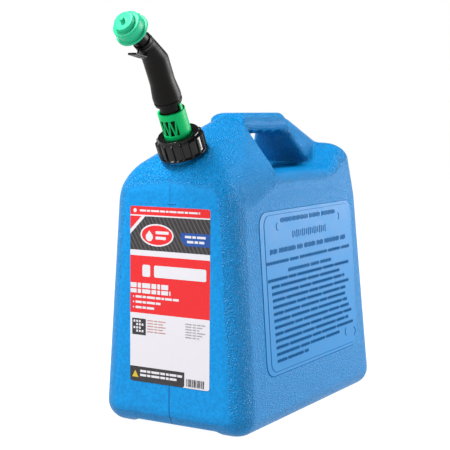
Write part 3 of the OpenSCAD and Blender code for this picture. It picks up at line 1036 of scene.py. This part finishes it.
LOCK_R = 16.8
LOCK_FOOT_S = 24.85
LOCK_TOP_S = 58.3


def zigzag_field(x, s):
    """Six leaning bars of the moulded spring in the collar's window."""
    nearest = np.full_like(x, 1e3)
    for i in range(6):
        lean = math.radians(9 if i % 2 else -9)
        from_x, from_s = x - (i - 2.5) * 3.7, s - 40.6
        across = from_x * math.cos(lean) - from_s * math.sin(lean)
        along = from_x * math.sin(lean) + from_s * math.cos(lean)
        nearest = np.minimum(nearest, np.maximum(np.abs(across) - 0.75, np.abs(along) - 11.2))
    return nearest


def lock_field(x, y, s):
    """The collar with its foot, its window with the spring, and the two struts on top."""
    radius = np.hypot(x, y)
    band = both(0.6, radius - LOCK_R, 13.7 - radius, s - LOCK_TOP_S, LOCK_FOOT_S - s)
    land = both(0.3, radius - 14.5, 12.88 - radius, s - 30, LOCK_FOOT_S - s)
    window = both(1.0, (np.abs(x) + y) * math.sqrt(0.5), s - 50.5, 31 - s)
    collar = np.minimum(both(0.5, band, -window), land)
    spring = both(0.35, zigzag_field(x, s), radius - 16.3, 14.6 - radius, y)
    struts = both(0.5, np.abs(y - 1.6) - 2.6, radius - 15.45, 13.55 - radius, s - 67.2, 55 - s)
    return np.minimum(either(0.6, collar, spring), struts)


def make_lock(green):
    low, high = (-18, -18, 24), (18, 18, 68)
    field_piece("lock_ring", lock_field, low, high, 0.45, NECK, "lock", green, "green_plastic",
                replaces=("lock_collar",))


# ---------------------------------------------------------------- the sliding sleeve and its nozzle

TAPER_FROM_S = 125
TAPER_TO_S = 17.5
TAPER_LENGTH = 24
EASE = 4


def nozzle_point(x, y, s):
    """A point of the nozzle's frame, in the neck's frame."""
    lean = math.radians(bend_angle)
    return (x, y * math.cos(lean) - s * math.sin(lean), BEND_S + y * math.sin(lean) + s * math.cos(lean))


def bent(point):
    """A point of a straight pipe on the neck's axis, carried onto the tapering elbow."""
    x, y, along = point
    over = along - TAPER_FROM_S
    eased = (over + EASE) ** 2 / (4 * EASE) if abs(over) < EASE else max(over, 0)
    if eased >= TAPER_LENGTH:
        return nozzle_point(x, y, TAPER_TO_S + eased - TAPER_LENGTH)
    return tuple(Vector((x, y, along - eased)).lerp(nozzle_point(x, y, TAPER_TO_S), eased / TAPER_LENGTH))


def past_taper(s):
    """The length along the pipe of a place on the nozzle's axis."""
    return TAPER_FROM_S + TAPER_LENGTH + s - TAPER_TO_S


def make_sleeve(black):
    """A straight pipe with a flared, grooved foot, which is then bent into the elbow."""
    end = past_taper(20.7)
    outline = rounded([
        (16.1, 67.4, 0.25), (17.0, 70.4, 0.8), (17.0, 71.6, 0.3), (16.0, 72.0, 0.2), (16.0, 73.8, 0.2),
        (17.1, 74.2, 0.4), (17.1, 79.0, 6), (15.1, 95, 12), (15.1, TAPER_FROM_S, 3),
        (11.5, past_taper(TAPER_TO_S), 1), (11.5, end, 0.4), (9.85, end, 0.3), (9.85, past_taper(13), 1),
        (12.2, TAPER_FROM_S - 2, 1), (12.2, 114.7, 0.2), (13.4, 114.7, 0.2), (13.4, 78.5, 0.3),
        (15.7, 78.5, 0.3), (15.7, 67.4, 0.1),
    ])
    points, faces = lathe(finer(outline, 1.6))
    piece("sleeve", ([bent(p) for p in points], faces), NECK, "sleeve", black,
          replaces=("elbow_body",))


NOZZLE_R = 9.8
NOZZLE_BORE_R = 8.3


def make_nozzle(black):
    """The outlet tube, with four spokes that hold the air tube."""
    pipe = lathe(finer(rounded([
        (NOZZLE_BORE_R, 15, 0.2), (NOZZLE_R, 15, 0.2), (NOZZLE_R, 62, 0.7), (NOZZLE_BORE_R, 62, 0.5),
    ]), 4))
    spokes = []
    for k in range(4):
        reach = NOZZLE_BORE_R + 0.5
        bar = raised(rounded_box(reach - 2.3, 1.2, 0.3, 2), 28, 38, 0.0)
        bar = shifted(bar, (reach + 2.3) / 2, 0)
        turn = turned("Z", 90 * k)
        spokes.append(([turn @ Vector(p) for p in bar[0]], bar[1]))
    piece("nozzle", merged([pipe] + spokes), NOZZLE, "sleeve", black,
          replaces=("nozzle_tip",))


def make_seal_ring(dark):
    outline = rounded([(9.82, 20.72, 0.3), (11.8, 20.72, 0.7), (11.8, 22.7, 0.7), (9.82, 22.7, 0.3)])
    piece("outlet_seal", lathe(outline), NOZZLE, "sleeve", dark, replaces=("nozzle_seal",))


def hook_field(x, y, s):
    """The clip round the nozzle, its web, and the blade that hangs on a filler's rim."""
    radius = np.hypot(x, y)
    clip = both(0.4, radius - 11.5, 9.82 - radius, np.abs(s - 25.35) - 2.35)
    lean = math.radians(21)
    from_y, from_s = y + 13.7, s - 15
    out = from_y * math.cos(lean) + from_s * math.sin(lean)
    along = from_s * math.cos(lean) - from_y * math.sin(lean)
    face = both(2.0, np.abs(x) - 5.65, np.abs(along - 12.25) - 12.25)
    blade = both(0.6, face, np.abs(out + 1.15) - 1.15)
    web = both(0.3, np.abs(x) - 1.15, np.abs(y + 13.4) - 3.9, np.abs(s - 25.35) - 2.35)
    web = np.maximum(web, 10.2 - radius)
    return either(0.8, np.minimum(clip, blade), web)


def make_hook(black):
    low, high = (-13, -28, 13), (13, 13, 41)
    field_piece("rim_catch", hook_field, low, high, 0.4, NOZZLE, "sleeve", black, "black_plastic",
                replaces=("rim_hook",))


# ---------------------------------------------------------------- the dust cap and the spring


def make_cap(green):
    """The stepped cap, with its nub and its pull tab."""
    outline = rounded([
        (9.95, 47, 0.3), (11.4, 47, 0.3), (11.4, 59, 0.5), (15.2, 59, 0.5), (15.2, 47, 0.3),
        (20.2, 47, 0.9), (20.2, 49.8, 0.9), (17.2, 49.8, 0.9), (17.2, 62, 1.8), (12.5, 62, 0.7),
        (12.5, 67.7, 1.5), (2.8, 67.7, 0.6), (2.8, 72.4, 1.2), (0, 72.4, 0), (0, 62.5, 0),
        (9.95, 62.5, 0.3),
    ])
    tab = shifted(raised(rounded_box(7, 3, 1, 3), 47.2, 49.6, 0.4), 0, 20.4)
    piece("cap", merged([lathe(finer(outline, 3)), tab]), NOZZLE, "cap", green,
          replaces=("dust_cap",))


def make_spring(wire):
    """The coil between the inner tube's ledge and the valve seat."""
    ledge, top, travel = 92, 111.25, 9
    route = helix(11.85, 92.65, top, turns=5, per_turn=36)
    coil = piece("coil_spring", swept(route, 0.6, 8), NECK, "spout_base", wire,
                 replaces=("return_spring",))
    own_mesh(coil)


def finish_nodes(finishes):
    """Materials for the CAD solids that show as they are."""
    for name, material in finishes.items():
        solid = frame["nodes"][name]
        for slot in solid.material_slots:
            slot.link = "OBJECT"
            slot.material = material


# ---------------------------------------------------------------- everything together

camera()
studio()
floor()

blue = blue_polyethylene()
smooth_blue = moulded("smooth_blue", BLUE_DARK, BLUE_LIGHT, 0.45, 0.05, 500, 0.22)
# A darker copy of the panel's blue for the raised marks and the plates' sloping edges: painted shade for
# their shadowed sides and the haze that they reflect less.
painted_shade_blue = moulded("painted_shade_blue", (0.0, 0.075, 0.23), (0.0, 0.10, 0.29), 0.6, 0.03, 900, 0.1)
black = moulded("black_polymer", (0.003, 0.0024, 0.0022), (0.006, 0.005, 0.0045), 0.38, 0.006, 1400, 0.11)
glossy_black = moulded("glossy_black", (0.002, 0.002, 0.002), (0.003, 0.003, 0.003), 0.12, 0.004, 700, 0.3)
green = moulded("green_polymer", (0.0, 0.37, 0.10), (0.0, 0.43, 0.125), 0.35, 0.003, 1400, 0.1)
cap_green = moulded("cap_green", (0.01, 0.36, 0.18), (0.015, 0.42, 0.215), 0.4, 0.003, 1400, 0.2)
grey = moulded("grey_polymer", (0.42, 0.43, 0.44), (0.5, 0.51, 0.52), 0.4)
wire = steel("spring_wire", 0.22)
mesh_metal = steel("basket_steel", 0.35)
seal = rubber("seal_rubber")
inks = {
    "white": printed("ink_white", (0.48, 0.47, 0.50)),
    "red": printed("ink_red", (0.50, 0.002, 0.005)),
    "dark": printed("ink_dark", (0.014, 0.012, 0.014)),
    "stripe": printed("ink_stripe", (0.055, 0.05, 0.05)),
    "grey": printed("ink_grey", (0.22, 0.21, 0.23)),
    "rust": printed("ink_rust", (0.36, 0.13, 0.10)),
    "blue": printed("ink_blue", (0.0, 0.045, 0.22)),
    "yellow": printed("ink_yellow", (0.42, 0.31, 0.01)),
}

make_tank(blue)
make_lining(blue)
make_neck(blue)
make_side_panels(smooth_blue, painted_shade_blue)
make_front_marks(smooth_blue)
make_label(inks)
make_ring(glossy_black)
make_lock(green)
make_sleeve(black)
make_nozzle(black)
make_seal_ring(seal)
make_hook(black)
make_cap(cap_green)
make_spring(wire)
finish_nodes({
    "flame_arrestor": mesh_metal, "neck_gasket": seal, "base_flange": black, "inner_tube": black,
    "slide_seal": seal, "valve_seat": grey, "valve_poppet": grey, "poppet_seal": seal,
    "vent_tube": milky_tube("vent_tube_plastic"), "vent_valve": seal,
})
